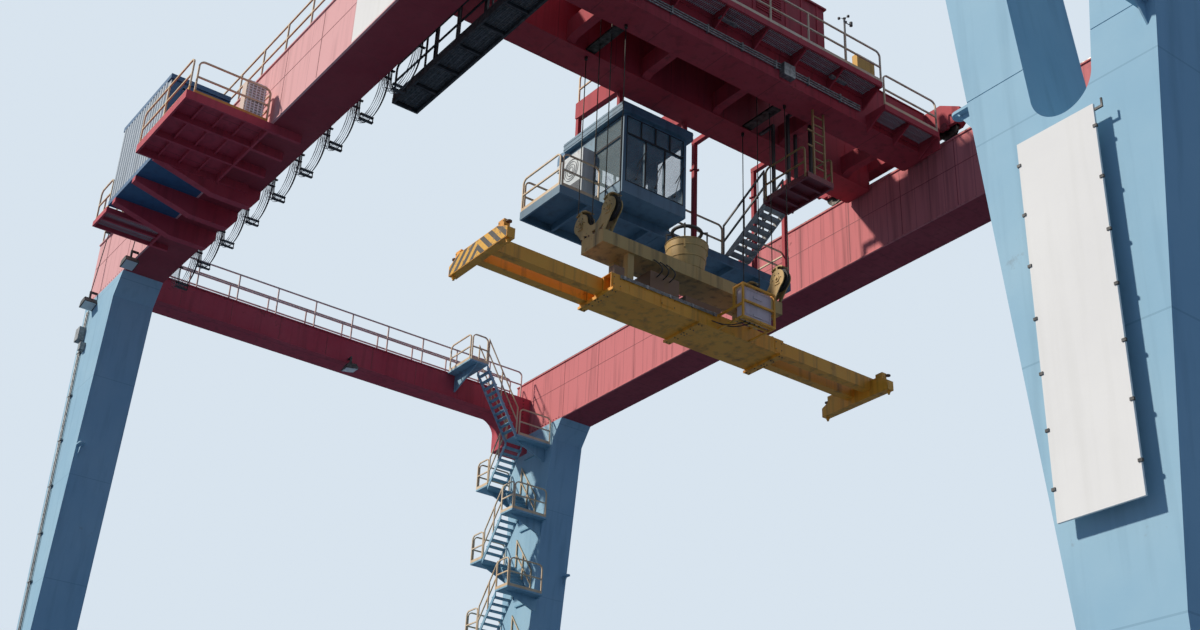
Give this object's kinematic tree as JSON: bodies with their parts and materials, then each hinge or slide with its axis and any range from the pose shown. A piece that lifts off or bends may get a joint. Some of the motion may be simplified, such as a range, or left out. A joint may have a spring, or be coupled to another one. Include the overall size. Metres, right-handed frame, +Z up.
{
  "type": "rail mounted gantry crane",
  "caption": "Rail mounted gantry crane for container yards, with a trolley and a telescopic spreader on ropes.",
  "frame": {"origin": "on the ground, midway between the crane rails and midway along the wheelbase", "axes": "+X along the girders towards the slotted legs, +Y along the crane rails, +Z up"},
  "size_m": [39.9, 24.8, 30.85],
  "materials": {
    "red_paint": "weathered crimson topcoat",
    "blue_paint": "weathered light blue topcoat",
    "dark_blue_paint": "dark blue topcoat",
    "ochre_paint": "worn ochre yellow topcoat",
    "khaki_paint": "greasy khaki topcoat",
    "railing_paint": "orange yellow tube paint",
    "tie_railing_paint": "faded pale paint",
    "rail_steel": "rolled steel with a worn tread",
    "wheel_steel": "forged steel with a worn tread",
    "galvanised": "galvanised grating",
    "rope_steel": "greased wire rope",
    "cable_rubber": "flat rubber cable",
    "board_white": "white sheet",
    "lamp_housing": "dark die-cast housing",
    "box_paint": "chalky light grey enclosure paint",
    "window_glass": "clear laminated glass",
    "house_sheet": "pale corrugated sheet with dark blue trim"
  },
  "bodies": {
    "root": {"front_girder": "red_paint", "rear_girder": "red_paint", "near_front_leg": "blue_paint", "near_rear_leg": "blue_paint", "far_front_leg": "blue_paint", "far_rear_leg": "blue_paint", "near_tie_beam": "red_paint", "far_tie_beam": "red_paint", "sill_beams": "blue_paint", "bogies": "blue_paint", "ground_wheels": "wheel_steel", "trolley_rails": "rail_steel", "girder_railings": "railing_paint", "tie_railings": "tie_railing_paint", "electrical_house": "house_sheet", "house_deck": "red_paint", "house_railings": "railing_paint", "festoon_rail": "galvanised", "festoon_cables": "cable_rubber", "leg_stairs": "blue_paint", "stair_railings": "railing_paint", "leg_board": "board_white", "floodlights": "lamp_housing"},
    "trolley": {"trolley_beams": "red_paint", "end_carriages": "red_paint", "trolley_wheels": "wheel_steel", "machinery_house": "red_paint", "trolley_decks": "red_paint", "trolley_railings": "railing_paint", "festoon_tray": "lamp_housing", "cab_shell": "dark_blue_paint", "cab_windows": "window_glass", "cab_hangers": "red_paint", "cab_walkway": "dark_blue_paint", "cab_railings": "railing_paint", "air_conditioner": "box_paint", "access_stair": "galvanised", "rope_anchors": "wheel_steel", "hoist_ropes": "rope_steel"},
    "spreader": {"headblock": "khaki_paint", "headblock_sheaves": "wheel_steel", "cable_basket": "khaki_paint", "spreader_frame": "ochre_paint", "junction_box": "box_paint"},
    "front_arm": {"front_arms": "ochre_paint"},
    "rear_arm": {"rear_arms": "ochre_paint"}
  },
  "joints": [
    {"name": "trolley_travel", "type": "slide", "parent": "root", "child": "trolley", "axis": [1, 0, 0], "range_m": [-12.5, 12.5]},
    {"name": "hoist", "type": "slide", "parent": "trolley", "child": "spreader", "axis": [0, 0, 1], "range_m": [-16, 1.7], "deforming": ["hoist_ropes"]},
    {"name": "front_arm_slide", "type": "slide", "parent": "spreader", "child": "front_arm", "axis": [0, 1, 0], "range_m": [0, 3.066]},
    {"name": "rear_arm_slide", "type": "slide", "parent": "spreader", "child": "rear_arm", "axis": [0, 1, 0], "range_m": [-3.066, 0]}
  ],
  "couplings": [
    {"joint": "rear_arm_slide", "follows": "front_arm_slide", "ratio": -1}
  ]
}
